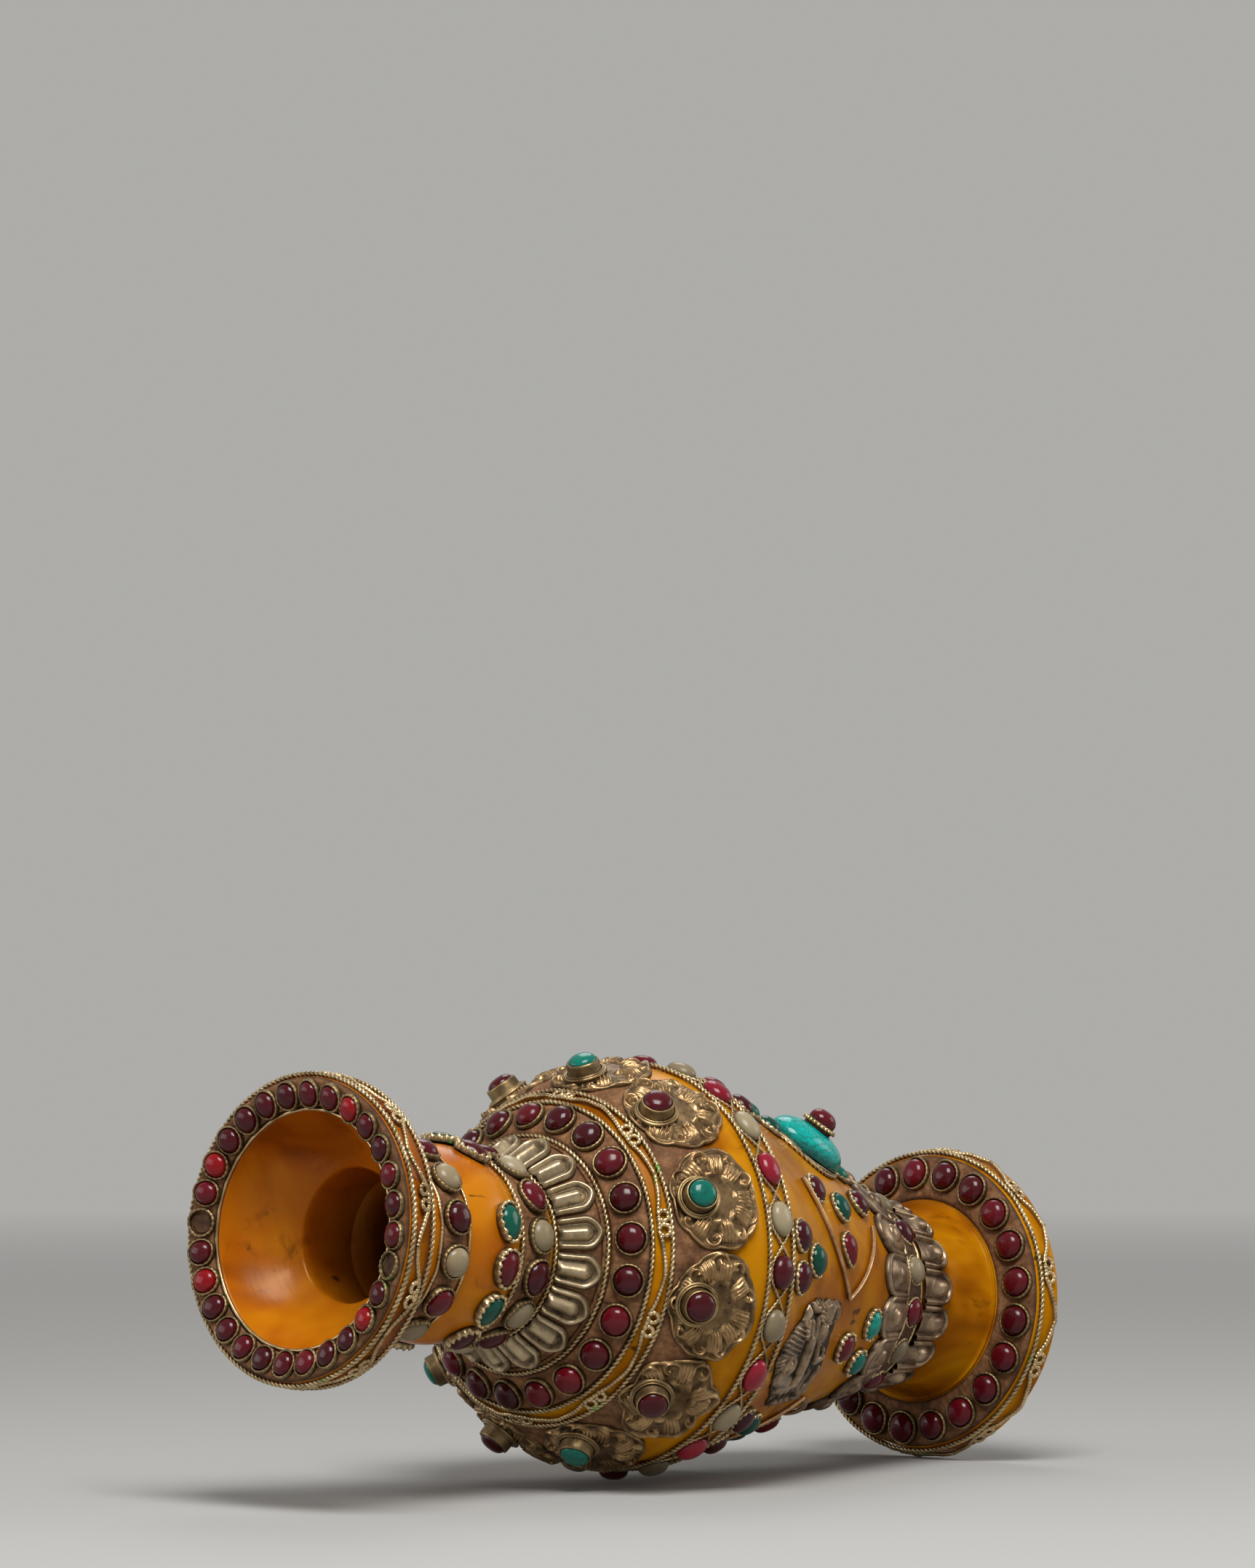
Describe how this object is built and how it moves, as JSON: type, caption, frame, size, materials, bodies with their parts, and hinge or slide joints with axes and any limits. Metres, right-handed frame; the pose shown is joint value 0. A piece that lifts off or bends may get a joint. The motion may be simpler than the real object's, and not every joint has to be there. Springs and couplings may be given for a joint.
{
  "type": "jewelled amber vase",
  "caption": "Ornate amber-coloured vase with a flared mouth, round belly and spreading foot, set with rows of cabochons, wires, pressed petals and medallions.",
  "frame": {"origin": "centre of the foot's floor ring, where the vase's axis meets the floor it stands on", "axes": "+Z along the vase's axis from the foot to the mouth; +X and +Y point out of the sides, with a turquoise dome 18 degrees from +X towards -Y"},
  "size_m": [0.1208, 0.1208, 0.2782],
  "materials": {
    "amber": "polished resin with a honey glow",
    "paste": "dull brown setting paste",
    "antique_brass": "worn brass wire and cups with dark grime",
    "pewter": "pewter-toned pressed sheet",
    "copper_sheet": "pressed coppery brass sheet",
    "garnet": "polished wine-red cabochons",
    "green_stone": "polished dark green cabochons",
    "turquoise": "polished turquoise",
    "cream_stone": "dull cream cabochons",
    "pink_stone": "pink-red cabochons"
  },
  "bodies": {
    "root": {"amber_foot": "amber", "amber_body": "amber", "amber_torus_collar": "amber", "amber_mouth": "amber", "mouth_paste_band": "paste", "neck_paste_band": "paste", "collar_paste_band": "paste", "petal_paste_band": "paste", "shoulder_paste_band": "paste", "foot_paste_band": "paste", "mouth_lip_wire": "antique_brass", "mouth_rim_wires": "antique_brass", "mouth_zigzag_wire": "antique_brass", "neck_wires": "antique_brass", "collar_wires": "antique_brass", "shoulder_wires": "antique_brass", "shoulder_zigzag_wire": "antique_brass", "belly_wires": "antique_brass", "waist_wires": "antique_brass", "foot_wire": "antique_brass", "foot_zigzag_wire": "antique_brass", "empty_mouth_cups": "antique_brass", "mouth_garnets": "garnet", "neck_garnets": "garnet", "neck_cream_stones": "cream_stone", "neck_green_stones": "green_stone", "drop_green_stones": "green_stone", "drop_garnets": "garnet", "collar_garnets": "garnet", "collar_cream_stones": "cream_stone", "shoulder_petals": "pewter", "shoulder_garnets": "garnet", "belly_plaques": "copper_sheet", "plaque_collets": "antique_brass", "plaque_turquoises": "turquoise", "plaque_garnets": "garnet", "row_cream_stones": "cream_stone", "row_garnets": "garnet", "row_pink_stones": "pink_stone", "cluster_garnets": "garnet", "cluster_green_stones": "green_stone", "dome_bezels": "antique_brass", "turquoise_domes": "turquoise", "crest_cups": "antique_brass", "crest_garnets": "garnet", "side_green_stones": "green_stone", "side_garnets": "garnet", "v_wires": "antique_brass", "v_drop_garnets": "garnet", "creature_appliques": "pewter", "pendant_turquoises": "turquoise", "pendant_garnets": "garnet", "waist_leaves": "pewter", "waist_garnets": "garnet", "waist_cream_stones": "cream_stone", "foot_petals": "pewter", "foot_garnets": "garnet"}
  },
  "joints": []
}
